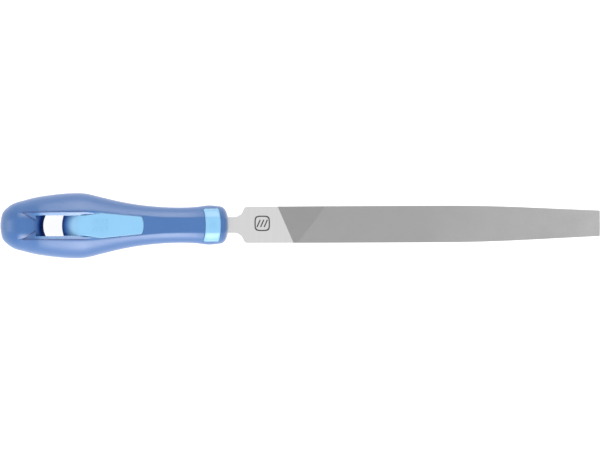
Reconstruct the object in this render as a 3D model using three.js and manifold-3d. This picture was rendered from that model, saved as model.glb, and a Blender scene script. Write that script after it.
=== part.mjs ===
// A workshop flat file: a forged steel blade with its tang, pressed into a handle moulded in two
// shots, a hard core that shows through windows in the jacket around it.
// Millimetres. +X runs from the butt to the tip, +Y across the width, +Z up from the broad face.
// The origin is the middle of the whole file.

import * as THREE from 'three';
import { mergeVertices } from 'three/addons/utils/BufferGeometryUtils.js';
import Module from 'manifold-3d';

const wasm = await Module();
wasm.setup();

// Driving dimensions: lengths along X
const bladeLength = 200; // tip to the start of the shoulder
const bareTang = 6.4; // tang that shows between handle and shoulder
const handleLength = 127;
const tangDepth = 52; // how far the tang goes into the handle
const shoulderLength = 3.4;

// Blade and tang sections
const blade = { heel: 20.1, middle: 20.4, tip: 14.2, thickness: 5, tipThickness: 3.6, heelSwell: 0.1 };
const tang = {
  shoulder: 9.3, mouth: 8.9, end: 4.4, mouthThickness: 4.4, endThickness: 2.8,
  flareStart: 1, flareRise: 0.4, // the flare starts this far behind the shoulder line and first rises by this
};
const taperStart = 111; // from the shoulder to where the blade starts to narrow
const taperBend = 47; // the bend between the parallel sides and the straight taper
const cornerRadius = 0.8;

// Handle stations: distance from the butt, half width, half depth, half width of the flat on top
const stations = [
  [0, 13.0, 11.2, 6.0],
  [12, 14.0, 12.5, 7.5],
  [22, 16.2, 13.4, 8.6],
  [33, 17.7, 13.9, 9.2],
  [42, 18.2, 14.0, 9.4],
  [48, 17.8, 13.6, 9.2],
  [56, 15.9, 12.6, 8.4],
  [67, 13.3, 11.1, 7.0],
  [78, 11.4, 9.9, 5.6],
  [90, 10.2, 9.0, 4.5],
  [101, 9.86, 8.7, 4.2],
  [109, 10.2, 9.0, 4.2],
  [116, 11.0, 9.8, 4.2],
  [122, 10.5, 9.4, 4.2],
  [127, 10.2, 9.1, 4.2],
];
const buttRound = 12; // length of the rounded butt
const noseRound = 5.2; // length of the rounded nose
const endFlat = 0.02; // share of each rounding that is left as a small flat end
const flatShare = 0.8; // the flat never takes more than this share of the width
const endCrowding = 0.13; // how much closer together the rings are towards the ends

// Core, its windows and the recess, placed by their distance from the butt
const jacketWall = 2.6;
const fitGap = 0.3; // between the mouldings, and between the tang and its bore
const coreBack = 43;
const coreFront = 121.5;
const tongue = {
  nose: 34.35, shoulder: 49, widest: 57, end: 79.8, narrow: 5.6, wide: 7.0, tail: 4.95, bow: 0.9,
  webSpare: 3, // the web runs on this far behind the nose before the roll cuts it back
  easeBefore: 3, easeAfter: 2, easeBack: 5, // where the side leaves its narrow part and reaches the wide one
  tailCorner: 0.6, // share of the tail's width at which its rounded end begins
};
const band = { back: 114.2, front: 122, half: 9.2, bow: 1.1 };
const recess = {
  start: 12.4, slotStart: 20, slotOverlap: 2, holeStart: 23.95, holeHalf: 5.8, mouthHalf: 7.5, bow: 1.2,
  slope: 0.6, // fall of the sloping sides for each millimetre towards the middle
};
const tongueRoll = 14; // length over which the tongue rolls down into the hole
const rollSpare = 0.1; // how far the tongue's roll starts above the skin
const noseSpare = 0.5; // how far the butt's roll starts above the skin
const cutterOver = 4; // how far the wedge of the recess rises past the skin, measured across
const reach = 40; // how far a cutter runs past the handle

const sideSteps = 6; // segments of a quarter section beside the flat
const flatSteps = 2; // segments of half the flat
const lengthSteps = 40;
const curveSteps = 6;
const mergeTolerance = 1e-4;

const tipX = (bladeLength + bareTang + handleLength) / 2;
const shoulderX = tipX - bladeLength;
const mouthX = shoulderX - bareTang;
const buttX = mouthX - handleLength;

const steel = new THREE.MeshStandardMaterial({ color: 0xb4b4b4, roughness: 0.35, metalness: 1 });
const corePlastic = new THREE.MeshStandardMaterial({ color: 0x9acdf5, roughness: 0.35, metalness: 0 });
const jacketPlastic = new THREE.MeshStandardMaterial({ color: 0x5f86bd, roughness: 0.5, metalness: 0 });

// A closed three.js geometry as a solid that can be joined and cut.
function solidOf(geometry) {
  const bare = geometry.clone();
  bare.deleteAttribute('normal');
  bare.deleteAttribute('uv');
  const merged = mergeVertices(bare, mergeTolerance);
  return new wasm.Manifold(new wasm.Mesh({
    numProp: 3,
    vertProperties: new Float32Array(merged.attributes.position.array),
    triVerts: new Uint32Array(merged.index.array),
  }));
}

function meshOf(name, solid, material) {
  const cut = solid.getMesh();
  const geometry = new THREE.BufferGeometry();
  geometry.setAttribute('position', new THREE.BufferAttribute(cut.vertProperties, 3));
  geometry.setIndex(new THREE.BufferAttribute(cut.triVerts, 1));
  geometry.computeVertexNormals();
  const mesh = new THREE.Mesh(geometry, material);
  mesh.name = name;
  return mesh;
}

// An outline in X and Y, made into a slab from one height to another.
function planSlab(shape, low, high) {
  const geometry = new THREE.ExtrudeGeometry(shape, {
    depth: high - low, bevelEnabled: false, curveSegments: curveSteps,
  });
  geometry.translate(0, 0, low);
  return geometry;
}

// An outline in X and Z, made into a slab across the width. `steps` lets it be bowed afterwards.
function sideSlab(shape, half, steps = 1) {
  const geometry = new THREE.ExtrudeGeometry(shape, {
    depth: 2 * half, steps, bevelEnabled: false, curveSegments: 2 * curveSteps,
  });
  geometry.rotateX(Math.PI / 2);
  geometry.translate(0, half, 0);
  return geometry;
}

// Bends a slab along X, so that its middle lies `sag` behind its sides at `half`.
function bowed(geometry, sag, half) {
  const position = geometry.attributes.position;
  for (let i = 0; i < position.count; i++) {
    const side = position.getY(i) / half;
    position.setX(i, position.getX(i) + sag * side * side);
  }
  return geometry;
}

// The same outline on both sides of the X axis, from half of it.
function mirrored(half) {
  const shape = half.clone();
  const points = half.getPoints(curveSteps);
  for (const point of points.reverse()) {
    shape.lineTo(point.x, -point.y);
  }
  return new THREE.Shape(shape.getPoints(curveSteps));
}

// Smooth value between the stations at a distance from the butt.
function stationValue(distance, column) {
  const last = stations.length - 2;
  let index = stations.findIndex((station) => station[0] > distance) - 1;
  index = index < 0 ? last : index;
  const rows = [-1, 0, 1, 2].map((step) => stations[Math.min(Math.max(index + step, 0), last + 1)]);
  const slope = (a, b) => (b[column] - a[column]) / (b[0] - a[0] || 1);
  const span = rows[2][0] - rows[1][0];
  const t = (distance - rows[1][0]) / span;
  const start = slope(rows[0], rows[2]) * span;
  const end = slope(rows[1], rows[3]) * span;
  const rise = rows[2][column] - rows[1][column];
  return rows[1][column] + t * (start + t * (3 * rise - 2 * start - end + t * (start + end - 2 * rise)));
}

// Both ends of the handle close in a quarter ellipse. This is its share of the full section.
function endShare(distance) {
  const fromEnd = Math.min(distance / buttRound, (handleLength - distance) / noseRound, 1);
  const out = 1 - Math.max(fromEnd, endFlat);
  return Math.sqrt(1 - out * out);
}

// One ring of the handle: round sides, and a flat above and below. `inset` lies inside the skin.
function handleRing(distance, inset) {
  const share = endShare(distance);
  const halfWidth = stationValue(distance, 1) * share - inset;
  const halfDepth = stationValue(distance, 2) * share - inset;
  const flatHalf = Math.min(stationValue(distance, 3) * share, halfWidth * flatShare);
  const corner = Math.acos(flatHalf / halfWidth);
  const crown = halfDepth / Math.sin(corner);
  const quarter = [];
  for (let i = 0; i < sideSteps; i++) {
    const angle = (corner * i) / sideSteps;
    quarter.push([halfWidth * Math.cos(angle), crown * Math.sin(angle)]);
  }
  for (let i = 0; i < flatSteps; i++) {
    quarter.push([flatHalf * (1 - i / flatSteps), halfDepth]);
  }
  const half = [...quarter, [0, halfDepth], ...quarter.slice(1).reverse().map(([y, z]) => [-y, z])];
  return [...half, ...half.map(([y, z]) => [-y, -z])];
}

// A skin through rings of points: a cylinder whose vertices are moved to the rings.
function loft(distances, ringAt) {
  const rings = distances.map(ringAt);
  const around = rings[0].length;
  const geometry = new THREE.CylinderGeometry(1, 1, 1, around, rings.length - 1);
  const position = geometry.attributes.position;
  for (let i = 0; i < position.count; i++) {
    const [x, y, z] = [position.getX(i), position.getY(i), position.getZ(i)];
    const radius = Math.round(Math.hypot(x, z));
    const row = Math.round((y + 0.5) * (rings.length - 1));
    const turn = Math.round((Math.atan2(x, z) / (2 * Math.PI)) * around + around) % around;
    const [across, up] = rings[row][turn];
    position.setXYZ(i, buttX + distances[row], radius * across, radius * up);
  }
  return geometry;
}

// Distances between two ends of the handle, closer together towards each end.
function spread(from, to, steps) {
  const distances = [];
  for (let i = 0; i <= steps; i++) {
    const t = i / steps;
    distances.push(from + (to - from) * (t - Math.sin(2 * Math.PI * t) * endCrowding));
  }
  return distances;
}

function handleForm() {
  return solidOf(loft(spread(0, handleLength, lengthSteps), (distance) => handleRing(distance, 0)));
}

// The inside of the jacket, along the stretch that the core fills.
function innerForm(grow) {
  const distances = spread(coreBack - grow, coreFront + grow, lengthSteps / 2);
  return solidOf(loft(distances, (distance) => handleRing(Math.min(distance, coreFront), jacketWall - grow)));
}

// The tongue seen from above: narrow beside the hole, widest behind the belly, then a long taper.
function tongueOutline(grow) {
  const half = new THREE.Path();
  half.moveTo(buttX + tongue.nose - tongue.webSpare, tongue.narrow + grow);
  half.lineTo(buttX + tongue.shoulder - tongue.easeBefore, tongue.narrow + grow);
  half.bezierCurveTo(
    buttX + tongue.shoulder + tongue.easeAfter, tongue.narrow + grow,
    buttX + tongue.widest - tongue.easeBack, tongue.wide + grow,
    buttX + tongue.widest, tongue.wide + grow,
  );
  half.lineTo(buttX + tongue.end - tongue.bow, tongue.tail + grow);
  half.quadraticCurveTo(
    buttX + tongue.end + grow, tongue.tail * tongue.tailCorner,
    buttX + tongue.end + grow, 0,
  );
  return mirrored(half);
}

function bandOutline(grow) {
  const half = new THREE.Path();
  half.moveTo(buttX + band.back - grow, 0);
  half.quadraticCurveTo(
    buttX + band.back - grow, band.half / 2,
    buttX + band.back - grow - band.bow, band.half + grow,
  );
  half.lineTo(buttX + band.front + grow - band.bow, band.half + grow);
  half.quadraticCurveTo(
    buttX + band.front + grow, band.half / 2,
    buttX + band.front + grow, 0,
  );
  return mirrored(half);
}

// What the core fills, before the hole and the bore are cut.
function coreBlank(grow) {
  const tongueWeb = solidOf(planSlab(tongueOutline(grow), -reach, reach));
  const bandWeb = solidOf(planSlab(bandOutline(grow), -reach, reach));
  return innerForm(grow).add(tongueWeb).add(bandWeb);
}

// Everything behind the tongue's nose, which rolls from the flat top down to the middle of the hole.
function tongueRollCutter() {
  const top = stationValue(tongue.nose + tongueRoll, 2) + rollSpare;
  const noseX = buttX + tongue.nose;
  const shape = new THREE.Shape();
  shape.moveTo(noseX - reach, -reach);
  shape.lineTo(noseX + tongueRoll, -reach);
  shape.lineTo(noseX + tongueRoll, -top);
  shape.absellipse(noseX + tongueRoll, 0, tongueRoll, top, -Math.PI / 2, -3 * Math.PI / 2, true);
  shape.lineTo(noseX + tongueRoll, reach);
  shape.lineTo(noseX - reach, reach);
  return solidOf(bowed(sideSlab(shape, recess.mouthHalf, curveSteps), tongue.bow, tongue.narrow));
}

// Everything in front of the butt's nose, which rolls down into the hole from the other side.
function buttRollCutter() {
  const top = stationValue(recess.start, 2) + noseSpare;
  const length = recess.holeStart - recess.start;
  const startX = buttX + recess.start;
  const shape = new THREE.Shape();
  shape.moveTo(startX, reach);
  shape.lineTo(startX, top);
  shape.absellipse(startX, 0, length, top, Math.PI / 2, -Math.PI / 2, true);
  shape.lineTo(startX, -reach);
  shape.lineTo(buttX + tongue.widest, -reach);
  shape.lineTo(buttX + tongue.widest, reach);
  return solidOf(bowed(sideSlab(shape, recess.mouthHalf + 1, curveSteps), recess.bow, recess.holeHalf));
}

// The straight slot of the hanging hole, on past the tongue's nose.
function slotCutter() {
  const shape = new THREE.Shape();
  shape.moveTo(buttX + recess.slotStart, -recess.holeHalf);
  shape.lineTo(buttX + tongue.nose + recess.slotOverlap, -recess.holeHalf);
  shape.lineTo(buttX + tongue.nose + recess.slotOverlap, recess.holeHalf);
  shape.lineTo(buttX + recess.slotStart, recess.holeHalf);
  return solidOf(planSlab(shape, -reach, reach));
}

// Raises or lowers a slab that runs along X, so that it keeps its depth below the handle's flat.
function followFlat(geometry, level) {
  const position = geometry.attributes.position;
  for (let i = 0; i < position.count; i++) {
    const flat = stationValue(position.getX(i) - buttX, 2);
    position.setZ(i, position.getZ(i) + flat - level);
  }
  return geometry;
}

// The sloping sides of the recess: a wedge whose edge points down, on the top or (side = -1) below.
function funnelCutter(side) {
  const mouth = stationValue(recess.holeStart, 2);
  const rise = cutterOver * recess.slope;
  const wedge = new THREE.Shape();
  wedge.moveTo(0, mouth - recess.mouthHalf * recess.slope);
  wedge.lineTo(recess.mouthHalf + cutterOver, mouth + rise);
  wedge.lineTo(-recess.mouthHalf - cutterOver, mouth + rise);
  const length = tongue.widest - recess.start;
  const geometry = new THREE.ExtrudeGeometry(wedge, {
    depth: length, steps: 2 * curveSteps, bevelEnabled: false,
  });
  geometry.rotateX(Math.PI / 2);
  geometry.rotateZ(Math.PI / 2);
  geometry.translate(buttX + recess.start, 0, 0);
  followFlat(geometry, mouth);
  if (side < 0) {
    geometry.rotateX(Math.PI);
  }
  return solidOf(geometry);
}

function hangingHole() {
  return buttRollCutter().intersect(slotCutter().add(funnelCutter(1)).add(funnelCutter(-1)));
}

// Half the width and half the thickness of the tang at a place along it.
function tangHalf(x) {
  const t = (mouthX - x) / tangDepth;
  return [
    THREE.MathUtils.lerp(tang.mouth, tang.end, t) / 2,
    THREE.MathUtils.lerp(tang.mouthThickness, tang.endThickness, t) / 2,
  ];
}

// The tapered hole for the tang, in the core and in the nose collar.
function tangBore() {
  const endX = mouthX - tangDepth - fitGap;
  const rowAt = (distance) => {
    const [halfWidth, halfDepth] = tangHalf(buttX + distance).map((half) => half + fitGap);
    return [[halfWidth, -halfDepth], [halfWidth, halfDepth], [-halfWidth, halfDepth], [-halfWidth, -halfDepth]];
  };
  return solidOf(loft([endX - buttX, handleLength + 1], rowAt));
}

// Blade and tang from above, one half: tang, rounded shoulder, parallel blade, bend, taper, blunt tip.
function forgingPlan() {
  const [endHalf] = tangHalf(mouthX - tangDepth);
  const heelX = shoulderX + shoulderLength;
  const bendX = shoulderX + taperStart;
  const slope = (blade.middle - blade.tip) / 2 / (tipX - bendX - taperBend / 2);
  const half = new THREE.Path();
  half.moveTo(mouthX - tangDepth, endHalf);
  half.lineTo(mouthX, tang.mouth / 2);
  half.lineTo(shoulderX - tang.flareStart, tang.shoulder / 2);
  half.quadraticCurveTo(
    heelX - cornerRadius, tang.shoulder / 2 + tang.flareRise,
    heelX - cornerRadius, blade.heel / 2 - cornerRadius,
  );
  half.quadraticCurveTo(
    heelX - cornerRadius, blade.heel / 2,
    heelX, blade.heel / 2,
  );
  half.lineTo(bendX - taperBend, (blade.middle - blade.heelSwell) / 2);
  half.lineTo(bendX, blade.middle / 2);
  half.quadraticCurveTo(
    bendX + taperBend / 2, blade.middle / 2,
    bendX + taperBend, blade.middle / 2 - slope * taperBend / 2,
  );
  half.lineTo(tipX - cornerRadius / 2, blade.tip / 2);
  half.lineTo(tipX, blade.tip / 2 - cornerRadius / 2);
  return mirrored(half);
}

// Blade and tang from the side: thin tang, parallel blade, slight taper towards the tip.
function forgingSide() {
  const [, endHalf] = tangHalf(mouthX - tangDepth);
  const half = new THREE.Path();
  half.moveTo(mouthX - tangDepth, endHalf);
  half.lineTo(mouthX, tang.mouthThickness / 2);
  half.lineTo(shoulderX + shoulderLength, blade.thickness / 2);
  half.lineTo(shoulderX + taperStart, blade.thickness / 2);
  half.lineTo(tipX, blade.tipThickness / 2);
  return mirrored(half);
}

function fileBlade() {
  const plan = solidOf(planSlab(forgingPlan(), -blade.thickness, blade.thickness));
  const side = solidOf(sideSlab(forgingSide(), blade.middle));
  return meshOf('file_blade', plan.intersect(side), steel);
}

function handleCore() {
  const solid = coreBlank(0).intersect(handleForm()).subtract(tongueRollCutter()).subtract(tangBore());
  return meshOf('handle_core', solid, corePlastic);
}

function handleJacket() {
  const solid = handleForm().subtract(coreBlank(fitGap)).subtract(hangingHole()).subtract(tangBore());
  return meshOf('handle_jacket', solid, jacketPlastic);
}

const flatFile = new THREE.Group();
flatFile.add(fileBlade(), handleCore(), handleJacket());

export default flatFile;
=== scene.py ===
import math
import random

import bmesh
import bpy
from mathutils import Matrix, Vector


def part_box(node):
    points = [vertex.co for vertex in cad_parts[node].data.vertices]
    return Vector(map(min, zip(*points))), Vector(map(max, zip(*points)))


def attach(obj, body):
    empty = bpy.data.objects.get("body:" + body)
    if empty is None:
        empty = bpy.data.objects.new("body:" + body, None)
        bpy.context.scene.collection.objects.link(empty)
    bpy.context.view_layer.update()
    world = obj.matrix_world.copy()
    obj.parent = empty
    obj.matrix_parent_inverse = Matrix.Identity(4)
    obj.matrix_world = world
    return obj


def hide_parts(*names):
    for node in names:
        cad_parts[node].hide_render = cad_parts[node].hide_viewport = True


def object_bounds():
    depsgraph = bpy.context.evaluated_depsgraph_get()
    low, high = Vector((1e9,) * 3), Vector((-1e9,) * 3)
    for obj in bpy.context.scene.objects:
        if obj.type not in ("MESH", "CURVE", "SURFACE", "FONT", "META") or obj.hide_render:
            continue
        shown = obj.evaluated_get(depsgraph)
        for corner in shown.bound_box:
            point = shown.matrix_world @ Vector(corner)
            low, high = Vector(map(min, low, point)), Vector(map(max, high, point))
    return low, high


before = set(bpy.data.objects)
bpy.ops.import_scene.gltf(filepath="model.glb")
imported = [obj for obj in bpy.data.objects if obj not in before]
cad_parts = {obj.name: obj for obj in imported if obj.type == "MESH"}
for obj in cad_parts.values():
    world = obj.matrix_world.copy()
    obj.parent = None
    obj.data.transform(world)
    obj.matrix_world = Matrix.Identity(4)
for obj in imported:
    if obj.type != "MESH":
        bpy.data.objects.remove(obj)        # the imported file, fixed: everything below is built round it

mm = 0.001
cadLow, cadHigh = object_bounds()
jacketLow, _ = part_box("handle_jacket")
bladeLow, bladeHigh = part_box("file_blade")
buttX = jacketLow.x / mm
tipX = bladeHigh.x / mm
endX = bladeLow.x / mm           # the hidden end of the tang
mergeDistance = 1e-7             # points closer than this are one point, in metres
onMiddle = 1e-6                  # heights below this lie on the middle line
sharpAngle = 28                  # degrees; steeper edges stay hard
colourA, colourB, colourOut = 6, 7, 2        # colour sockets of a Mix node
print("frame loaded, overall length", round((cadHigh.x - cadLow.x) / mm, 1), "mm")


# a node tree and one socket in it, so that shader maths reads as ordinary expressions
class Wire:
    def __init__(self, tree, socket=None):
        self.tree = tree
        self.socket = socket

    def node(self, kind, settings=None, inputs=None, output=0):
        made = self.tree.nodes.new(kind)
        for name, value in (settings or {}).items():
            setattr(made, name, value)
        for name, value in (inputs or {}).items():
            if isinstance(value, Wire):
                self.tree.links.new(value.socket, made.inputs[name])
            else:
                made.inputs[name].default_value = value
        return Wire(self.tree, made.outputs[output] if made.outputs else None)

    def maths(self, operation, first, second=0.0):
        return self.node("ShaderNodeMath", {"operation": operation}, {0: first, 1: second})

    def __add__(self, other):
        return self.maths("ADD", self, other)

    def __sub__(self, other):
        return self.maths("SUBTRACT", self, other)

    def __mul__(self, other):
        return self.maths("MULTIPLY", self, other)

    def __radd__(self, other):
        return self.maths("ADD", other, self)

    def __rsub__(self, other):
        return self.maths("SUBTRACT", other, self)

    def __rmul__(self, other):
        return self.maths("MULTIPLY", other, self)

    def __abs__(self):
        return self.maths("ABSOLUTE", self)

    def over(self, limit):
        return self.maths("GREATER_THAN", self, limit)

    def under(self, limit):
        return self.maths("LESS_THAN", self, limit)

    def most(self, other):
        return self.maths("MAXIMUM", self, other)


def newMaterial(name):
    material = bpy.data.materials.new(name)
    material.use_nodes = True
    tree = material.node_tree
    tree.nodes.clear()
    return material, Wire(tree)


def finishMaterial(wire, settings, share=None, other=None):
    # one surface, or two mixed by a share that may change over the piece
    shader = wire.node("ShaderNodeBsdfPrincipled", {}, settings)
    if other:
        second = wire.node("ShaderNodeBsdfPrincipled", {}, other)
        shader = wire.node("ShaderNodeMixShader", {}, {0: share, 1: shader, 2: second})
    wire.node("ShaderNodeOutputMaterial", {}, {"Surface": shader})


def place(wire):
    return wire.node("ShaderNodeTexCoord", output="Object")


def stretched(wire, where, scale):
    return wire.node("ShaderNodeVectorMath", {"operation": "MULTIPLY"}, {0: where, 1: scale})


def noise(wire, where, scale, detail=3.0, rough=0.5):
    inputs = {"Vector": where, "Scale": scale, "Detail": detail, "Roughness": rough}
    return wire.node("ShaderNodeTexNoise", {}, inputs)


def blendColours(wire, share, first, second):
    inputs = {0: share}
    for socket, colour in ((colourA, first), (colourB, second)):
        inputs[socket] = (*colour, 1) if isinstance(colour, tuple) else colour
    return wire.node("ShaderNodeMix", {"data_type": "RGBA"}, inputs, colourOut)


def eased(wire, value, far, near):
    # 0 at the far value, 1 at the near one, and a smooth step between them
    return wire.node("ShaderNodeMapRange", {"interpolation_type": "SMOOTHSTEP"},
                     {"Value": value, "From Min": far, "From Max": near})


def tinted(wire, colour, share, factor):
    # the colour multiplied by a factor where the share is 1
    tint = blendColours(wire, share, (1, 1, 1), factor)
    return wire.node("ShaderNodeMix", {"data_type": "RGBA", "blend_type": "MULTIPLY"},
                     {0: 1.0, colourA: colour, colourB: tint}, colourOut)


def bump(wire, height, strength, distance):
    return wire.node("ShaderNodeBump", {}, {"Height": height, "Strength": strength, "Distance": distance})


# points are in mm until they become objects
def objectFrom(name, points, faces):
    mesh = bpy.data.meshes.new(name)
    mesh.from_pydata([(x * mm, y * mm, z * mm) for x, y, z in points], [], faces)
    mesh.validate()
    made = bpy.data.objects.new(name, mesh)
    bpy.context.scene.collection.objects.link(made)
    tidy = bmesh.new()
    tidy.from_mesh(mesh)
    bmesh.ops.remove_doubles(tidy, verts=tidy.verts, dist=mergeDistance)
    bmesh.ops.recalc_face_normals(tidy, faces=tidy.faces)
    tidy.to_mesh(mesh)
    tidy.free()
    return made


def loft(name, rings):
    around = len(rings[0])
    points = [point for ring in rings for point in ring]
    faces = [list(range(around))[::-1], [len(points) - around + i for i in range(around)]]
    for row in range(len(rings) - 1):
        start = row * around
        for i in range(around):
            j = (i + 1) % around
            faces.append([start + i, start + j, start + around + j, start + around + i])
    return objectFrom(name, points, faces)


def combine(target, tool, operation):
    modifier = target.modifiers.new("cut", "BOOLEAN")
    modifier.operation, modifier.solver, modifier.object = operation, "MANIFOLD", tool
    graph = bpy.context.evaluated_depsgraph_get()
    result = bpy.data.meshes.new_from_object(target.evaluated_get(graph))
    target.modifiers.clear()
    spent, target.data = target.data, result
    bpy.data.meshes.remove(spent)
    bpy.data.meshes.remove(tool.data)
    if not target.data.polygons:
        raise RuntimeError(f"nothing left of {target.name} after {operation}")
    return target


def finishPiece(piece, material, node):
    piece.data.materials.clear()
    piece.data.materials.append(material)
    piece.data.shade_smooth()
    piece.data.set_sharp_from_angle(angle=math.radians(sharpAngle))
    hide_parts(node)
    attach(piece, "root")


def grown(loop, amount):
    # the same closed outline, moved out square to itself; loops run anticlockwise
    moved = []
    for i, (x, y) in enumerate(loop):
        before, after = loop[i - 1], loop[(i + 1) % len(loop)]
        into = Vector((x - before[0], y - before[1])).normalized()
        out = Vector((after[0] - x, after[1] - y)).normalized()
        square = Vector((into.y + out.y, -into.x - out.x))
        square *= 2 / max(square.length_squared, 1)
        moved.append((x + square.x * amount, y + square.y * amount))
    return moved


def curve(start, first, second, end, steps):
    # points of a cubic Bezier after its start
    found = []
    for i in range(1, steps + 1):
        t = i / steps
        weights = ((1 - t) ** 3, 3 * t * (1 - t) ** 2, 3 * t * t * (1 - t), t ** 3)
        found.append(tuple(sum(w * p[k] for w, p in zip(weights, (start, first, second, end)))
                           for k in range(2)))
    return found


def mirrored(half):
    # half an outline from left to right above the middle line, closed anticlockwise
    return [(x, -y) for x, y in half if y > onMiddle] + [(x, y) for x, y in reversed(half)]


handle = {
    "length": 127.0,
    # distance from the butt, half width, half depth, half width of the flat, softness of its edge
    "stations": [
        (0, 15.6, 11.2, 2.0, 0.6), (2.4, 13.6, 11.4, 2.2, 0.5), (4, 13.1, 11.6, 2.5, 0.5),
        (8, 13.3, 12.0, 3.1, 0.5), (12, 13.95, 12.5, 3.8, 0.5), (17, 15.25, 13.0, 5.4, 0.5),
        (22, 16.3, 13.4, 7.3, 0.5), (33, 17.7, 13.9, 7.8, 0.45), (42, 18.2, 14.0, 8.0, 0.45),
        (48, 17.8, 13.6, 8.0, 0.45), (56, 15.9, 12.6, 7.6, 0.4), (67, 13.3, 11.1, 6.6, 0.3),
        (78, 11.4, 9.9, 5.5, 0.25), (90, 10.2, 9.0, 4.5, 0.2), (101, 9.86, 8.7, 4.2, 0.2),
        (109, 10.2, 9.0, 4.2, 0.2), (116, 11.0, 9.8, 4.2, 0.2), (122, 10.5, 9.4, 4.2, 0.2),
        (127, 10.2, 9.1, 4.2, 0.2),
    ],
    "flatShare": 0.8,    # the flat is no wider than this share of the width
    "buttRound": 12.0,
    "noseRound": 5.2,
    "endFlat": 0.005,    # share of each rounding left as a tiny flat at its very end
    "buttBlunt": 2.2,    # 2 would be a true ellipse
    "noseBlunt": 2.35,
    "wall": 2.6,         # thickness of the jacket over the core
    "ringStep": 0.8,     # mesh spacing along the handle
    "buttRings": 24,     # mesh rings over each rounding
    "noseRings": 12,
    "around": 144,       # mesh points round it
    "loopStep": 1.0,     # mesh spacing along the window edges
    "coreBack": 43.0,
    "coreFront": 121.5,
    "gap": 0.05,         # seam between the two mouldings
    "lip": 0.45,         # rounding of the window edges
    "lipTurns": (0, 25, 50, 75),
    "lipRun": 0.7,       # run past the rounding, as a share of the lip
    "boreSpare": 0.08,   # play round the tang
    "boreAhead": 3.0,
}
tongue = {
    "nose": 34.35, "shoulder": 49.0, "widest": 57.0, "end": 80.0,
    "narrow": 5.6, "wide": 7.0, "tail": 4.95, "roll": 14.0, "bow": 0.9,
    "noseSpare": 3.0,    # its window starts this far behind the nose
    "ease": 4.0,         # how gently it widens
    # tail corner: distance from the end, height over the tail's half width
    "corner": [(2.8, 0.12), (1.4, 0.0), (0.75, -0.2), (0.6, -1.2)],
    # end face: distance from the end, share of the tail's half width
    "face": [(0.15, 0.5), (0.0, 0.25), (0.0, 0.0)],
    "sideSteps": 16, "tailSteps": 8,
    # the space cut away behind the nose: how far it reaches back, stands off the skin, passes the sides
    "rollBack": 20.0, "rollLift": 0.05, "rollSteps": 40, "rollSpare": 1.0,
    "strokes": {"at": (52.4, 54.2, 56.0, 57.8, 59.6), "rows": (-2.1, 2.1),
                "length": 3.2, "width": 0.7, "lean": 1.2, "raise": 0.16},
}
band = {
    "back": 114.3, "front": 122.8, "half": 9.2, "bow": 1.2, "corner": 0.8,
    "middleEase": 0.4, "sideEase": 0.75,     # shares of the half width that shape the bowed ends
    "backEase": 0.6, "frontEase": 0.4,       # shares of the bow at the second of them
    "cornerEase": 0.3, "backPull": (-0.1, 0.2), "frontPull": (-0.2, 0.05),
    "endSteps": 10, "cornerSteps": 4,
    "strokes": {"at": (117.4, 119.2), "rows": (0,),
                "length": 3.4, "width": 0.7, "lean": 1.2, "raise": 0.14},
}
strokeForm = {"sink": 0.6, "edge": 0.4, "inset": 0.5, "endSteps": 6}     # edge, inset: shares of its height
recess = {
    "rollStart": 8.0, "slotStart": 20.0, "holeStart": 23.95, "slotHalf": 5.8, "mouthHalf": 7.5, "bow": 1.4,
    "rampEnd": (20.0, 10.3), "rampSlope": -0.36,     # the butt falls gently to here, then turns down
    "slope": 0.6,        # fall of the sloping sides
    # shape of the roll: how far its curves hold the slope of the skin, of the ramp and of the turn
    "rollLift": 0.02, "skinHold": 4.0, "skinFall": 3.4, "rampHold": 4.5, "turnHold": 2.0, "turnDepth": 0.65,
    "rollSteps": 24, "turnSteps": 20, "rollSpare": 2.0, "bowFrom": 4.0, "crownAhead": 3.0,
    "slotSpare": 0.6,    # the slot reaches this far past the tongue's nose
    # the sloping sides narrow a little from here to their front end
    "fadeFrom": 46.0, "fadeIn": 1.2, "sideSpare": 1.0, "sideSteps": 48,
    "edgeIn": 0.15, "edgeOut": 0.25, "edgeUp": 0.1, "over": 3.0,     # how they break through the skin
}
farUp = 24.0             # height above which nothing of the file reaches


def between(rows, distance, column):
    # smooth reading between the rows of a table whose first column is a distance
    index = max(i for i in range(len(rows) - 1) if rows[i][0] <= max(distance, rows[0][0]))
    before, low, high, after = (rows[min(max(index + k, 0), len(rows) - 1)] for k in (-1, 0, 1, 2))

    def slope(a, b):
        return (b[column] - a[column]) / ((b[0] - a[0]) or 1)

    span = high[0] - low[0]
    t = (distance - low[0]) / span
    start, end = slope(before, high) * span, slope(low, after) * span
    rise = high[column] - low[column]
    return low[column] + t * (start + t * (3 * rise - 2 * start - end + t * (start + end - 2 * rise)))


def stationValue(distance, column):
    return between(handle["stations"], distance, column)


def endShare(distance):
    # both ends close in a slightly blunt quarter ellipse
    fromButt, fromNose = distance / handle["buttRound"], (handle["length"] - distance) / handle["noseRound"]
    blunt = handle["buttBlunt"] if fromButt < fromNose else handle["noseBlunt"]
    out = 1 - max(min(fromButt, fromNose, 1), handle["endFlat"])
    return (1 - out ** blunt) ** (1 / blunt)


def softLess(a, b, softness):
    h = max(softness - abs(a - b), 0) / softness
    return min(a, b) - h * h * softness / 4


def sectionAt(distance, inset):
    share = endShare(distance)
    halfWidth = stationValue(distance, 1) * share - inset
    halfDepth = stationValue(distance, 2) * share - inset
    flatHalf = min(stationValue(distance, 3) * share, halfWidth * handle["flatShare"])
    crown = halfDepth / math.sqrt(1 - (flatHalf / halfWidth) ** 2)
    return halfWidth, halfDepth, crown, stationValue(distance, 4) * share


def skinPoint(section, angle):
    halfWidth, halfDepth, crown, softness = section
    up = softLess(crown * abs(math.sin(angle)), halfDepth, softness)
    return halfWidth * math.cos(angle), math.copysign(up, math.sin(angle))


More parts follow.
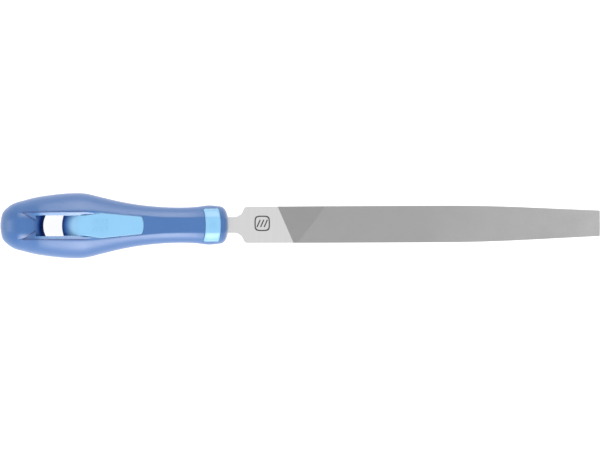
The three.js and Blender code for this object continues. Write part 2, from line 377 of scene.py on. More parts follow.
def skinHeight(distance, y):
    # height of the handle's skin over a place in plan, kept just clear of its ends and sides
    clear, widest = 0.5, 0.999
    section = sectionAt(min(max(distance, clear), handle["length"] - clear), 0)
    across = min(abs(y) / section[0], widest)
    return skinPoint(section, math.acos(across))[1]


def ringAt(distance, inset):
    section = sectionAt(distance, inset)
    ring = []
    for i in range(handle["around"]):
        y, z = skinPoint(section, 2 * math.pi * (i + 0.5) / handle["around"])
        ring.append((buttX + distance, y, z))
    return ring


def handleForm():
    length, butt, nose = handle["length"], handle["buttRound"], handle["noseRound"]
    buttRings, noseRings = handle["buttRings"], handle["noseRings"]
    distances = [butt * (1 - math.cos(math.pi / 2 * i / buttRings)) for i in range(buttRings)]
    middle = length - butt - nose
    count = round(middle / handle["ringStep"])
    distances += [butt + middle * i / count for i in range(count)]
    distances += [length - nose * (1 - math.sin(math.pi / 2 * i / noseRings)) for i in range(noseRings + 1)]
    return loft("form", [ringAt(distance, 0) for distance in distances])


def innerForm(grow):
    back, front = handle["coreBack"] - grow, handle["coreFront"] + grow
    count = round((front - back) / handle["ringStep"] / 2)
    rings = []
    for i in range(count + 1):
        distance = back + (front - back) * i / count
        ring = ringAt(min(distance, handle["coreFront"]), handle["wall"] - grow)
        rings.append([(buttX + distance, y, z) for _, y, z in ring])
    return loft("inner", rings)


def tongueLoop():
    t = tongue
    half = [(t["nose"] - t["noseSpare"], t["narrow"]), (t["shoulder"] - t["ease"], t["narrow"])]
    half += curve(half[-1], (t["shoulder"] + t["ease"] / 2, t["narrow"]),
                  (t["widest"] - t["ease"], t["wide"]), (t["widest"], t["wide"]), t["sideSteps"])
    corner = [(t["end"] - back, t["tail"] + up) for back, up in t["corner"]]
    half.append(corner[0])
    half += curve(*corner, t["tailSteps"])
    face = [(t["end"] - back, t["tail"] * share) for back, share in t["face"]]
    half += curve(half[-1], *face, t["tailSteps"])
    return mirrored(dense(half, handle["loopStep"]))


def bandLoop():
    b = band
    half, bow, corner = b["half"], b["bow"], b["corner"]
    back, front = b["back"] - bow, b["front"] - bow      # where the bowed ends meet the sides
    middle, side = half * b["middleEase"], half * b["sideEase"]
    turned = half - corner * b["cornerEase"]
    path = [(b["back"], 0)]
    path += curve(path[-1], (b["back"], middle), (b["back"] - bow * b["backEase"], side),
                  (back, half - corner), b["endSteps"])
    path += curve(path[-1], (back + b["backPull"][0], turned), (back + b["backPull"][1], half),
                  (back + corner, half), b["cornerSteps"])
    path.append((front - corner, half))
    path += curve(path[-1], (front + b["frontPull"][0], half), (front, turned),
                  (front + b["frontPull"][1], half - corner), b["cornerSteps"])
    path += curve(path[-1], (b["front"] - bow * b["frontEase"], side), (b["front"], middle),
                  (b["front"], 0), b["endSteps"])
    return mirrored(dense(path, handle["loopStep"]))


def dense(path, step):
    # adds points along long straight stretches, so that a wall can follow a curved skin
    filled = [path[0]]
    for (x0, y0), (x1, y1) in zip(path, path[1:]):
        count = max(1, round(math.hypot(x1 - x0, y1 - y0) / step))
        filled += [(x0 + (x1 - x0) * i / count, y0 + (y1 - y0) * i / count) for i in range(1, count + 1)]
    return filled


def skinRings(loop, rows):
    # copies of a plan outline laid on the skin, each grown by so much and raised above it by so much
    rings = []
    for grow, up in rows:
        pairs = zip(grown(loop, grow), loop)
        rings.append([(buttX + s, y, skinHeight(s0, y0) + up) for (s, y), (s0, y0) in pairs])
    return rings


def windowBlock(name, loop, flare):
    # a block through the handle whose wall rounds in or out where it meets the skin:
    # flare is the lip's radius, positive for the jacket's cutter and negative for the core's block
    size = abs(flare)
    rows = []
    for degrees in handle["lipTurns"]:
        turn = math.radians(degrees)
        rows.append((flare * (1 - math.cos(turn)), size * (math.sin(turn) - 1)))
    rows.append((rows[-1][0] + flare * handle["lipRun"], rows[-1][1] + size * handle["lipRun"]))
    upper = skinRings(loop, rows)
    upper.append([(x, y, farUp) for x, y, _ in upper[-1]])
    lower = [[(x, y, -z) for x, y, z in ring] for ring in reversed(upper)]
    return loft(name, lower + upper)


def strokeLoop(centre, length, width, lean):
    # a slanted stroke with round ends
    along = Vector((math.cos(lean), math.sin(lean)))
    steps = strokeForm["endSteps"]
    loop = []
    for end in (1, -1):
        hub = Vector(centre) + along * end * (length - width) / 2
        for i in range(steps + 1):
            turn = lean + math.pi * (i / steps - 0.5) + (0 if end > 0 else math.pi)
            loop.append((hub.x + math.cos(turn) * width / 2, hub.y + math.sin(turn) * width / 2))
    return loop


def addStrokes(core):
    # plain raised strokes, where a moulding like this one is usually marked
    form = strokeForm
    for mark in (tongue["strokes"], band["strokes"]):
        high = mark["raise"]
        rows = [(0, -form["sink"]), (0, high * form["edge"]), (-high * form["inset"], high)]
        for s in mark["at"]:
            for y in mark["rows"]:
                loop = strokeLoop((s, y), mark["length"], mark["width"], mark["lean"])
                combine(core, loft("stroke", skinRings(loop, rows)), "UNION")


def coreBlank(grow, flare):
    blank = innerForm(grow)
    combine(blank, windowBlock("tongueBlock", grown(tongueLoop(), grow), flare), "UNION")
    combine(blank, windowBlock("bandBlock", grown(bandLoop(), grow), flare), "UNION")
    return blank


def rollSlab(name, profile, half, bow, bowHalf, bowFrom, bowFull, crownAt=None):
    # an outline in length and height carried across the width; past bowFrom its sides are set forward,
    # and with crownAt it falls away sideways as the skin does there
    steps = 32
    rings = []
    for i in range(steps + 1):
        y = half * (2 * i / steps - 1)
        shift = bow * (y / bowHalf) ** 2
        share = skinHeight(crownAt, y) / skinHeight(crownAt, 0) if crownAt else 1
        ring = []
        for s, z in profile:
            bowed = min(max((s - bowFrom) / (bowFull - bowFrom), 0), 1)
            ring.append((buttX + s + shift * bowed, y, z * share))
        rings.append(ring)
    return loft(name, rings)


def buttRoll():
    # all the space in front of the butt's nose, which rolls down into the hanging hole
    r = recess
    start, (rampX, rampZ), rampSlope = r["rollStart"], r["rampEnd"], r["rampSlope"]
    top = skinHeight(start, 0) + r["rollLift"]
    near = 0.5
    slope = skinHeight(start + near, 0) - skinHeight(start - near, 0)
    half = [(start, top)]
    half += curve(half[0], (start + r["skinHold"], top + slope * r["skinFall"]),
                  (rampX - r["rampHold"], rampZ - rampSlope * r["rampHold"]),
                  (rampX, rampZ), r["rollSteps"])
    half += curve(half[-1], (rampX + r["turnHold"], rampZ + rampSlope * r["turnHold"]),
                  (r["holeStart"], rampZ * r["turnDepth"]), (r["holeStart"], 0), r["turnSteps"])
    end = tongue["widest"] + r["rollSpare"]
    profile = [(start, farUp)] + half + [(s, -z) for s, z in reversed(half[:-1])]
    profile += [(start, -farUp), (end, -farUp), (end, farUp)]
    return rollSlab("buttRoll", profile, r["mouthHalf"] + r["rollSpare"], r["bow"], r["slotHalf"],
                    rampX - r["bowFrom"], rampX, start + r["crownAhead"])


def tongueRoll():
    # all the space behind the tongue's nose, which rolls down from the other side
    t = tongue
    nose, length, steps = t["nose"], t["roll"], t["rollSteps"]
    top, back = skinHeight(nose + length, 0) + t["rollLift"], nose - t["rollBack"]
    profile = [(back, -farUp), (nose + length, -farUp)]
    for i in range(steps + 1):
        turn = math.pi * i / steps
        profile.append((nose + length * (1 - math.sin(turn)), -top * math.cos(turn)))
    profile += [(nose + length, farUp), (back, farUp)]
    return rollSlab("tongueRoll", profile, recess["mouthHalf"] + t["rollSpare"], t["bow"], t["narrow"],
                    back, back + 1)


def slotBlock():
    r = recess
    end = tongue["nose"] + r["slotSpare"]
    loop = [(r["slotStart"], -r["slotHalf"]), (end, -r["slotHalf"]),
            (end, r["slotHalf"]), (r["slotStart"], r["slotHalf"])]
    rings = [[(buttX + s, y, z) for s, y in loop] for z in (-farUp, farUp)]
    return loft("slot", rings)


def funnelBlock(side):
    # the sloping sides of the recess: they follow the skin along their mouth and meet in an edge below
    r = recess
    slope, over = r["slope"], r["over"]
    start, end = r["rollStart"] - r["sideSpare"], tongue["widest"] + r["sideSpare"]
    rings = []
    for i in range(r["sideSteps"] + 1):
        s = start + (end - start) * i / r["sideSteps"]
        fade = min(max((s - r["fadeFrom"]) / (end - r["fadeFrom"]), 0), 1)
        mouth = r["mouthHalf"] - r["fadeIn"] * fade * fade * (3 - 2 * fade)
        top = skinHeight(s, mouth)
        ring = [(0, top - mouth * slope), (mouth - r["edgeIn"], top - r["edgeIn"] * slope),
                (mouth + r["edgeOut"], top + r["edgeUp"]), (mouth + over, top + over * slope)]
        ring += [(-y, z) for y, z in reversed(ring[1:])]
        rings.append([(buttX + s, y, side * z) for y, z in ring])
    return loft("funnel", rings)


def hangingHole():
    space = combine(slotBlock(), funnelBlock(1), "UNION")
    combine(space, funnelBlock(-1), "UNION")
    return combine(space, buttRoll(), "INTERSECT")


blade = {
    "length": 200.0, "bareTang": 6.4, "shoulder": 3.4,
    "heel": 20.2, "middle": 20.4, "tip": 14.2, "thickness": 5.0, "tipThickness": 3.6,
    "taperStart": 111.0, "taperBend": 47.0, "swell": 60.0,
    "tangMouth": 8.9, "tangEnd": 4.4, "tangMouthThickness": 4.4, "tangEndThickness": 2.8,
    # the flare: distance ahead of the shoulder line, half width
    "flare": [(-3.1, 4.46), (-2.0, 4.6), (-1.1, 4.98), (0.0, 5.66), (0.9, 6.55), (1.5, 7.6), (2.0, 8.75),
              (2.4, 9.4), (2.8, 9.8), (3.5, 10.08)],
    "edge": 0.07,            # ground chamfer along the heel and tang
    "plain": 22,             # length of heel whose narrow edges have no cuts
    "shoulderRun": 0.6,      # full thickness starts this far behind the heel
    "tipCorner": 0.3, "tipPlain": 0.4,
    "half": 4.0,             # half height of the blocks it is cut with
    "flareSteps": 24, "sideSteps": 150,
}
heelDevice = {
    "at": (-21.0, 0.8), "half": 4.3, "line": 0.7, "depth": 0.09,
    "pitch": 2.0, "strokeLength": 4.6, "lean": 1.15,
    "squareness": 0.5, "steps": 48,      # 1 would be a circle, 0 a square
}
teeth = {
    "firstPitch": 0.56, "secondPitch": 0.66,
    # the first cut and the second that crosses it: direction of the lines, and where they start
    "firstAlong": (0.396, -0.918), "firstAt": -8.0,
    "secondAlong": (0.6, 0.8), "secondAt": 6.05,
    "depth": 0.17, "crest": 0.7, "saddle": 0.55,
    "edgePitch": 0.6, "edgeDepth": 0.12, "edgeSlant": 0.35, "edgeCrest": 0.75,
    "wander": 0.04, "uneven": 0.12,          # how much single teeth differ
    "under": 0.6, "sink": 0.02, "inset": 0.06,       # sheet of teeth, drop of the body, bare rim
    # how far the rows run past the outline before they are trimmed to it
    "pastTip": 1.2, "pastEdge": 0.8, "firstSpare": 12, "secondRows": (-70, 220),
    "seed": 11,
}
shoulderX = tipX - blade["length"]
mouthX = shoulderX - blade["bareTang"]
heelX = shoulderX + blade["shoulder"]
bendX = shoulderX + blade["taperStart"]
cutX = heelX + blade["plain"]


def bladeHalf(x):
    # half width of the cut blade in plan
    b = blade
    taperEnd = bendX + b["taperBend"]
    slope = (b["middle"] - b["tip"]) / 2 / (tipX - bendX - b["taperBend"] / 2)
    if x < bendX:
        t = min(max((x - heelX) / b["swell"], 0), 1)
        return (b["heel"] + (b["middle"] - b["heel"]) * math.sin(t * math.pi / 2)) / 2
    if x < taperEnd:
        t = (x - bendX) / b["taperBend"]
        return b["middle"] / 2 - slope * b["taperBend"] / 2 * t * t
    return b["middle"] / 2 - slope * (x - bendX - b["taperBend"] / 2)


def bladeTop(x):
    b = blade
    t = max(x - bendX, 0) / (tipX - bendX)
    return (b["thickness"] + (b["tipThickness"] - b["thickness"]) * t) / 2


def tangHalf(x):
    # half width and half thickness
    t = (mouthX - x) / (mouthX - endX)
    b = blade
    width = b["tangMouth"] + (b["tangEnd"] - b["tangMouth"]) * t
    thickness = b["tangMouthThickness"] + (b["tangEndThickness"] - b["tangMouthThickness"]) * t
    return width / 2, thickness / 2


def shoulderPath():
    # tang and rounded shoulder up to the parallel blade, above the middle line
    b = blade
    half = [(endX, tangHalf(endX)[0]), (mouthX, b["tangMouth"] / 2)]
    start, end = blade["flare"][0][0], blade["flare"][-1][0]
    for i in range(b["flareSteps"] + 1):
        ahead = start + (end - start) * i / b["flareSteps"]
        half.append((shoulderX + ahead, between(blade["flare"], ahead, 1)))
    return half


def bladeLoop(jagged):
    half = shoulderPath()
    corner = blade["tipCorner"]
    half += [(heelX + i, bladeHalf(heelX + i)) for i in range(2, blade["plain"])]
    if jagged:
        pitch, deep, crest = teeth["edgePitch"], teeth["edgeDepth"], teeth["edgePitch"] * teeth["edgeCrest"]
        x = cutX
        while x + pitch < tipX - corner:
            half += [(x, bladeHalf(x) - deep), (x + crest, bladeHalf(x + crest))]
            x += pitch
    else:
        count = blade["sideSteps"]
        places = [cutX + (tipX - cutX) * i / count for i in range(count)]
        half += [(x, bladeHalf(x)) for x in places]
    half += [(tipX - corner, bladeHalf(tipX)), (tipX, bladeHalf(tipX) - corner)]
    return [(x, -y) for x, y in half] + [(x, y) for x, y in reversed(half)]


def planPrism(name, loop, low, high, slant=0.0):
    def shifted(x, z):
        return x + slant * z if cutX <= x < tipX - blade["tipPlain"] else x

    rings = [[(shifted(x, z), y, z) for x, y in loop] for z in (low, high)]
    return loft(name, rings)


def chamferedPrism(name, loop, half, edge):
    rows = [(-edge, -half), (0, -half + edge), (0, half - edge), (-edge, half)]
    rings = [[(x, y, z) for x, y in (grown(loop, grow) if grow else loop)] for grow, z in rows]
    return loft(name, rings)


def sidePrism(name, lowered):
    # the forging from the side: thin tang, parallel blade, slight taper to the tip
    half = [(endX, tangHalf(endX)[1]), (mouthX, blade["tangMouthThickness"] / 2)]
    half.append((heelX - blade["shoulderRun"], bladeTop(heelX)))
    half += [(bendX, bladeTop(bendX)), (tipX, bladeTop(tipX))]
    outline = [(x, -z + lowered) for x, z in half] + [(x, z - lowered) for x, z in reversed(half)]
    wide = blade["middle"]
    return loft(name, [[(x, y, z) for x, z in outline] for y in (-wide, wide)])


def linesAcross(along, pitch):
    # unit normal of a family of chisel cuts, pointing to the tip, over its pitch
    normal = Vector((-along[1], along[0]))
    if normal.x < 0:
        normal = -normal
    return normal.normalized() / pitch


def toothSlab(name, side):
    # crossing rows of chisel cuts: each tooth is a small diamond with a steep face to the tip
    first = linesAcross(teeth["firstAlong"], teeth["firstPitch"])
    second = linesAcross(teeth["secondAlong"], teeth["secondPitch"])
    spin = first.x * second.y - first.y * second.x
    chance = random.Random(teeth["seed"] + side)
    points, index, faces = [], {}, []

    def planAt(a, b):
        a += first.x * teeth["firstAt"]
        b += second.x * teeth["secondAt"]
        return (a * second.y - b * first.y) / spin, (first.x * b - second.x * a) / spin

    def vertex(key, a, b, height):
        if key not in index:
            x, y = planAt(a, b)
            index[key] = len(points)
            points.append((x, y * side, side * (bladeTop(x) + height)))
        return index[key]

    deep = teeth["depth"]
    rows = int((tipX - teeth["firstAt"] + teeth["firstSpare"]) * first.length)
    secondStart, secondReach = teeth["secondRows"]
    for i in range(rows):
        inRow = []
        for j in range(secondStart, int(secondReach * second.length)):
            x, y = planAt(i + 0.5, j + 0.5)
            if x < tipX + teeth["pastTip"] and abs(y) < bladeHalf(min(x, tipX)) + teeth["pastEdge"]:
                inRow.append(j)
        for j in inRow:
            c = [[vertex(("groove", i + m, j + n), i + m, j + n, -deep) for n in (0, 1)] for m in (0, 1)]
            saddles = []
            for n in (0, 1):
                low = 0 if j + n <= 0 else -deep * teeth["saddle"]
                saddles.append(vertex(("saddle", i, j + n), i + teeth["crest"], j + n, low))
            wander = chance.uniform(-teeth["wander"], teeth["wander"])
            worn = deep * chance.uniform(0, teeth["uneven"])
            apex = vertex(("apex", i, j), i + teeth["crest"] + wander, j + 0.5, -worn)
            faces.append((c[0][0], saddles[0], apex))
            faces.append((c[0][0], apex, c[0][1]))
            faces.append((c[0][1], apex, saddles[1]))
            faces.append((saddles[0], c[1][0], apex))
            faces.append((c[1][0], c[1][1], apex))
            faces.append((c[1][1], saddles[1], apex))
    return closeBelow(name, points, faces, side)


def closeBelow(name, points, faces, side):
    # gives an open sheet of teeth a wall round its edge and a floor below
    mesh = bmesh.new()
    verts = [mesh.verts.new((x * mm, y * mm, z * mm)) for x, y, z in points]
    for face in faces:
        mesh.faces.new([verts[i] for i in face])
    rim = [edge for edge in mesh.edges if edge.is_boundary]
    grownPart = bmesh.ops.extrude_edge_only(mesh, edges=rim)
    lower = [item for item in grownPart["geom"] if isinstance(item, bmesh.types.BMVert)]
    for vert in lower:
        vert.co.z = side * (bladeTop(vert.co.x / mm) - teeth["under"]) * mm
    floorEdges = [item for item in grownPart["geom"]
                  if isinstance(item, bmesh.types.BMEdge) and item.is_boundary]
    bmesh.ops.holes_fill(mesh, edges=floorEdges, sides=0)
    bmesh.ops.triangulate(mesh, faces=[face for face in mesh.faces if len(face.verts) > 4])
    bmesh.ops.recalc_face_normals(mesh, faces=mesh.faces)
    sheet = bpy.data.meshes.new(name)
    mesh.to_mesh(sheet)
    mesh.free()
    made = bpy.data.objects.new(name, sheet)
    bpy.context.scene.collection.objects.link(made)
    return made


def heelBlock():
    # everything behind the slanted line where the first cut starts
    alongX, alongY = teeth["firstAlong"]
    reach, behind = 20, endX - 5
    low, high = ((teeth["firstAt"] + alongX / alongY * y, y) for y in (-reach, reach))
    loop = [(behind, -reach), low, high, (behind, reach)]
    return loft("heel", [[(x, y, z) for x, y in loop] for z in (-farUp, farUp)])


def heelMark():
    # a plain device with no meaning: a rounded frame round three slanted strokes
    m = heelDevice
    (middleX, middleY), steps = m["at"], m["steps"]
    high = bladeTop(heelX)
    low, above = high - m["depth"], high + 1

    def rounded(half):
        loop = []
        for i in range(steps):
            turn = 2 * math.pi * (i + 0.5) / steps
            across, up = math.cos(turn), math.sin(turn)
            loop.append((middleX + half * math.copysign(abs(across) ** m["squareness"], across),
                         middleY + half * math.copysign(abs(up) ** m["squareness"], up)))
        return loop

    outer, inner = rounded(m["half"]), rounded(m["half"] - m["line"])
    rings = ((outer, low), (outer, above), (inner, above), (inner, low))
    points = [(x, y, z) for loop, z in rings for x, y in loop]
    faces = []
    for row in range(len(rings)):
        start, after = row * steps, (row + 1) % len(rings) * steps
        for i in range(steps):
            j = (i + 1) % steps
            faces.append([start + i, start + j, after + j, after + i])
    device = objectFrom("device", points, faces)
    for shift in (-1, 0, 1):
        loop = strokeLoop((middleX + shift * m["pitch"], middleY), m["strokeLength"], m["line"], m["lean"])
        combine(device, planPrism("stroke", loop, low, above), "UNION")
    return device


def bladeForm():
    half = blade["half"]
    ground = chamferedPrism("blade", bladeLoop(False), blade["thickness"] / 2, blade["edge"])
    combine(ground, sidePrism("side", 0), "INTERSECT")
    combine(ground, heelBlock(), "INTERSECT")
    combine(ground, heelMark(), "DIFFERENCE")
    lowered = planPrism("lowered", bladeLoop(True), -half, half, teeth["edgeSlant"])
    combine(lowered, sidePrism("side", teeth["depth"] + teeth["sink"]), "INTERSECT")
    combine(ground, lowered, "UNION")
    for side in (1, -1):
        cut = toothSlab("teeth", side)
        zone = planPrism("zone", grown(bladeLoop(False), -teeth["inset"]), -half, half)
        combine(ground, combine(cut, zone, "INTERSECT"), "UNION")
    return ground


def tangBore():
    # the tapered bore in both mouldings
    spare = handle["boreSpare"]
    rings = []
    for x in (endX - spare, mouthX + handle["boreAhead"]):
        halfWidth, halfDepth = (half + spare for half in tangHalf(x))
        rings.append([(x, halfWidth, -halfDepth), (x, halfWidth, halfDepth),
                      (x, -halfWidth, halfDepth), (x, -halfWidth, -halfDepth)])
    return loft("bore", rings)


def recessHighlightAndShade(wire, look, x, y, colour, rough):
    # the sloping sides of the recess are polished to a lower roughness, with a painted highlight that
    # lightens their colour; a painted shade darkens a line along their edges and down the V creases
    start, end, shadeLineStart, shadeLineEnd, creaseStart, creaseEnd = (
        (buttX + s) * mm for s in (*look["facetX"], *look["shadeLineX"], *look["creaseX"]))
    aside, shadeLineAt, shadeLineHalf = abs(y), look["shadeLineAt"] * mm, look["shadeLineHalf"] * mm
    facet = x.over(start) * x.under(end) * aside.under(look["facetHalf"] * mm) \
        * aside.over(look["facetInner"] * mm)
    # painted highlight: the sloping sides are given a lighter colour
    colour = tinted(wire, colour, facet, look["facetHighlightFactor"])
    rough = rough + facet * (look["facetRough"] - look["rough"])
    # painted shade: a darker line along the recess outline and down the V creases
    shadeLine = x.over(shadeLineStart) * eased(wire, abs(aside - shadeLineAt), shadeLineHalf, 0) \
        * eased(wire, x, shadeLineEnd, shadeLineEnd - look["shadeLineFade"] * mm)
    offCrease = abs(aside + (x - creaseStart) * look["creaseSlope"] - shadeLineAt)
    crease = x.over(creaseStart) * x.under(creaseEnd) * eased(wire, offCrease, shadeLineHalf, 0)
    return tinted(wire, colour, shadeLine.most(crease), look["shadeLineFactor"]), rough


def plasticFinish(name, look):
    material, wire = newMaterial(name)
    where = place(wire)
    cloud = noise(wire, where, look["cloudScale"], look["cloudDetail"])
    grain = noise(wire, where, look["grainScale"], look["grainDetail"])
    colour = blendColours(wire, cloud, look["dark"], look["light"])
    # painted shade: down in the recess the colour turns a deeper, darker blue, standing in for the shade
    # where only light from the blue walls comes; the surface is duller there too
    x, y, z = (wire.node("ShaderNodeSeparateXYZ", {}, {0: where}, axis) for axis in "XYZ")
    start, end = ((buttX + s) * mm for s in look["deepX"])
    inside = x.over(start) * x.under(end) * abs(y).under(look["deepHalf"] * mm)
    deep = inside * eased(wire, abs(z), look["deepFrom"] * mm, look["deepTo"] * mm)
    colour = tinted(wire, colour, deep, look["paintedShadeFactor"])
    rough = look["rough"] + (cloud - 0.5) * look["roughSpread"] + deep * look["deepRough"]
    if "facetHighlightFactor" in look:
        colour, rough = recessHighlightAndShade(wire, look, x, y, colour, rough)
    skin = {
        "Base Color": colour,
        "Roughness": rough,
        "Sheen Weight": look["sheen"],
        "Sheen Roughness": look["sheenRough"],
        "Normal": bump(wire, grain, look["grainStrength"], look["grainHeight"]),
        "IOR": look["ior"],
    }
    finishMaterial(wire, skin, deep, {**skin, "Sheen Weight": 0.0, "IOR": look["deepIor"]})
    return material


plasticLook = {
    "rough": 0.38, "roughSpread": 0.1, "ior": 1.55, "sheenRough": 0.35, "deepRough": 0.4, "deepHalf": 6.0,
    "cloudDetail": 4, "grainDetail": 2, "grainHeight": 0.0001,
}
jacketLook = {
    **plasticLook,
    "dark": (0.0205, 0.079, 0.222), "light": (0.022, 0.084, 0.233), "sheen": 0.35,
    "cloudScale": 45.0, "grainScale": 3200.0, "grainStrength": 0.25,
    # painted shade down in the hanging hole: colour factor, where it applies, and a duller surface there
    "paintedShadeFactor": (0.08, 0.2, 0.5), "deepX": (18.5, 60.0), "deepFrom": 11.3, "deepTo": 8.0, "deepIor": 1.1,
    # painted highlight on the sloping sides of the recess, which are also less rough
    "facetHighlightFactor": (1.45, 1.5, 1.3), "facetX": (19.5, 56.0), "facetInner": 5.6, "facetHalf": 7.6,
    "facetRough": 0.24,
    # painted shade along the recess outline and the V creases
    "shadeLineFactor": (0.22, 0.32, 0.52), "shadeLineX": (12.6, 52.0), "shadeLineFade": 8.0,
    "shadeLineAt": 7.55, "shadeLineHalf": 0.75,
    "creaseX": (12.6, 20.0), "creaseSlope": 0.65,
}
coreLook = {
    **plasticLook,
    "dark": (0.132, 0.298, 0.46), "light": (0.139, 0.312, 0.48), "sheen": 0.0,
    "cloudScale": 60.0, "grainScale": 2600.0, "grainStrength": 0.12,
    # painted shade where the tongue turns down into the hole: colour factor, where it applies, and a duller
    # surface there
    "paintedShadeFactor": (0.2, 0.33, 0.9), "deepX": (30.0, 44.0), "deepFrom": 12.0, "deepTo": 4.5, "deepIor": 1.15,
}
steelLook = {
    "ground": (0.715, 0.715, 0.715), "groundDark": (0.645, 0.645, 0.65), "groundRough": 0.36,
    "grindScale": (900.0, 30.0, 900.0), "grindDetail": 3, "grindSpread": 0.1,
    "grindStrength": 0.12, "grindHeight": 0.00005,
    "groundCloudScale": 60.0, "groundCloudDetail": 4, "groundCloudSpread": 0.12,
    # the teeth are a darker steel than the ground heel: painted shade standing in for the shade among their
    # small cut faces
    "toothLight": (0.46, 0.46, 0.46), "toothDark": (0.385, 0.385, 0.388), "toothRough": 0.5,
    "toothTip": (0.66, 0.66, 0.66), "tipFrom": 50.0, "toothSpread": 0.2,
    "toothCloudScale": 35.0, "toothCloudDetail": 5, "toothCloudRough": 0.6,
    "speckScale": 900.0, "speckDetail": 2, "cloudShare": 0.6, "speckShare": 0.4,
    "mark": (0.1, 0.1, 0.1), "markDark": (0.05, 0.05, 0.05), "markMetal": 0.3,
    "markRough": 0.6, "markSpread": 0.2, "markScale": 1500.0, "markDetail": 3,
}


def groundSteel():
    material, wire = newMaterial("groundSteel")
    look = steelLook
    where = place(wire)
    lines = noise(wire, stretched(wire, where, look["grindScale"]), 1.0, look["grindDetail"])
    cloud = noise(wire, where, look["groundCloudScale"], look["groundCloudDetail"])
    colour = blendColours(wire, lines, look["groundDark"], look["ground"])
    rough = look["groundRough"] + (cloud - 0.5) * look["groundCloudSpread"]
    rough = rough + (lines - 0.5) * look["grindSpread"]
    finishMaterial(wire, {
        "Base Color": colour, "Metallic": 1.0, "Roughness": rough,
        "Normal": bump(wire, lines, look["grindStrength"], look["grindHeight"]),
    })
    return material


def etchedSteel():
    material, wire = newMaterial("etchedSteel")
    look = steelLook
    speck = noise(wire, place(wire), look["markScale"], look["markDetail"])
    finishMaterial(wire, {
        "Base Color": blendColours(wire, speck, look["markDark"], look["mark"]),
        "Metallic": look["markMetal"], "Roughness": look["markRough"] + (speck - 0.5) * look["markSpread"],
    })
    return material


def toothSteel():
    material, wire = newMaterial("toothSteel")
    look = steelLook
    where = place(wire)
    cloud = noise(wire, where, look["toothCloudScale"], look["toothCloudDetail"], look["toothCloudRough"])
    speck = noise(wire, where, look["speckScale"], look["speckDetail"])
    # brighter towards the tip
    x = wire.node("ShaderNodeSeparateXYZ", {}, {0: where}, "X")
    ahead = wire.node("ShaderNodeMapRange", {}, {
        "Value": x, "From Min": look["tipFrom"] * mm, "From Max": tipX * mm})
    bright = blendColours(wire, ahead, look["toothLight"], look["toothTip"])
    share = cloud * look["cloudShare"] + speck * look["speckShare"]
    # painted shade: the teeth's colour is darker than the ground steel, for the shade among their small
    # faces
    colour = blendColours(wire, share, look["toothDark"], bright)
    finishMaterial(wire, {
        "Base Color": colour, "Metallic": 1.0,
        "Roughness": look["toothRough"] + (speck - 0.5) * look["toothSpread"],
    })
    return material


def paintBlade(forging):
    # ground steel first, then the teeth, then the floor of the etched device
    for finish in (toothSteel(), etchedSteel()):
        forging.data.materials.append(finish)
    across = linesAcross(teeth["firstAlong"], 1)
    start = 0.02         # mm past the line where the first cut begins
    level = 0.9          # etched faces lie nearly flat
    shallow, deep = (heelDevice["depth"] * share for share in (0.5, 1.5))
    for face in forging.data.polygons:
        x, y, z = (value / mm for value in face.center)
        ahead = (x - teeth["firstAt"]) * across.x + y * across.y
        engraved = x > heelX and shallow < bladeTop(heelX) - z < deep and abs(face.normal.z) > level
        face.material_index = 1 if ahead > start else 2 if engraved else 0


jacket = handleForm()
jacket.name = "handleJacket"
combine(jacket, coreBlank(handle["gap"], handle["lip"]), "DIFFERENCE")
combine(jacket, hangingHole(), "DIFFERENCE")
print("jacket cut:", len(jacket.data.polygons), "faces")

core = coreBlank(0, -handle["lip"])
core.name = "handleCore"
combine(core, handleForm(), "INTERSECT")
addStrokes(core)
combine(core, tongueRoll(), "DIFFERENCE")
combine(core, tangBore(), "DIFFERENCE")
combine(jacket, tangBore(), "DIFFERENCE")
print("core cut:", len(core.data.polygons), "faces")

forging = bladeForm()
forging.name = "fileBlade"
print("blade cut:", len(forging.data.polygons), "faces")

finishPiece(jacket, plasticFinish("jacketPlastic", jacketLook), "handle_jacket")
finishPiece(core, plasticFinish("corePlastic", coreLook), "handle_core")
finishPiece(forging, groundSteel(), "file_blade")
paintBlade(forging)

studio = {
    "floor": (0.3, 0.3, 0.3), "floorRough": 0.7, "floorGlow": 0.93, "floorSpecular": 0.2,
    "floorHalf": 6000, "floorDrop": 0.02, "floorScale": 3.0, "floorDetail": 2, "floorShade": 0.985,
    "world": 1.0,
    # name, place, size, power
    "softboxes": [
        ("nearSoftbox", (0, -1.0, 0.58), (0.6, 1.0), 19.5),
        ("farSoftbox", (0, 1.0, 0.52), (0.6, 1.0), 10.5),
        ("buttSoftbox", (-1.1, 0, 0.32), (0.6, 0.6), 3.0),
    ],
    "lens": 600.0, "sensor": 36.0, "margin": 1.0008, "clip": (0.05, 50), "roll": -0.26, "shiftY": -0.2,
}


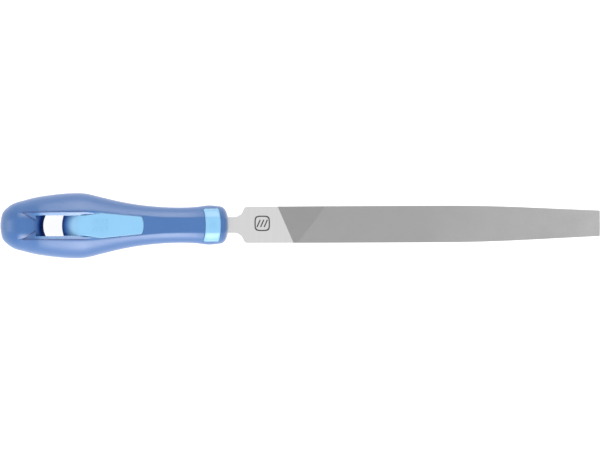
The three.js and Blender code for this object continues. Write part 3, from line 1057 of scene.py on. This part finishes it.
def studioFloor():
    # tilted a little, so that the file rests on the belly of its handle and the tip of its blade
    tipZ = -bladeTop(tipX)
    slope = max((tipZ - v.co.z / mm) / (tipX - v.co.x / mm) for v in jacket.data.vertices)
    half, drop = studio["floorHalf"], studio["floorDrop"]
    points = [(x, y, tipZ - drop - slope * (tipX - x)) for x in (-half, half) for y in (-half, half)]
    floor = objectFrom("floor", points, [(0, 2, 3, 1)])
    material, wire = newMaterial("paleFloor")
    tone = noise(wire, place(wire), studio["floorScale"], studio["floorDetail"])
    shaded = tuple(c * studio["floorShade"] for c in studio["floor"])
    finishMaterial(wire, {
        "Base Color": blendColours(wire, tone, studio["floor"], shaded),
        "Roughness": studio["floorRough"], "Specular IOR Level": studio["floorSpecular"],
        "Emission Color": (1, 1, 1, 1), "Emission Strength": studio["floorGlow"],
    })
    floor.data.materials.append(material)
    return floor


def softbox(name, at, size, power, receivers):
    # faces the middle of the file
    light = bpy.data.lights.new(name, "AREA")
    light.shape, light.energy = "RECTANGLE", power
    light.size, light.size_y = size
    lamp = bpy.data.objects.new(name, light)
    bpy.context.scene.collection.objects.link(lamp)
    lamp.location = at
    lamp.rotation_euler = (-Vector(at)).to_track_quat("-Z", "Y").to_euler()
    lamp.visible_camera = False
    lamp.light_linking.receiver_collection = receivers


def studioWorld():
    world = bpy.data.worlds.new("studio")
    world.use_nodes = True
    background = world.node_tree.nodes["Background"]
    background.inputs["Color"].default_value = (1, 1, 1, 1)
    background.inputs["Strength"].default_value = studio["world"]
    bpy.context.scene.world = world


# the softboxes light only these; the steel would mirror them as plain white
softlit = bpy.data.collections.new("softlit")
for thing in (jacket, core, studioFloor()):
    softlit.objects.link(thing)
studioWorld()
for row in studio["softboxes"]:
    softbox(*row, softlit)

lens = bpy.data.cameras.new("camera")
camera = bpy.data.objects.new("camera", lens)
bpy.context.scene.collection.objects.link(camera)
lens.lens, lens.sensor_width = studio["lens"], studio["sensor"]
away = (cadHigh.x - cadLow.x) * studio["margin"] * studio["lens"] / studio["sensor"]
camera.location = (0, studio["shiftY"] * mm, away)
camera.rotation_euler = (0, 0, math.radians(studio["roll"]))
lens.clip_start, lens.clip_end = studio["clip"]
bpy.context.scene.camera = camera
bpy.context.scene.view_settings.view_transform = "Standard"
print("studio set")
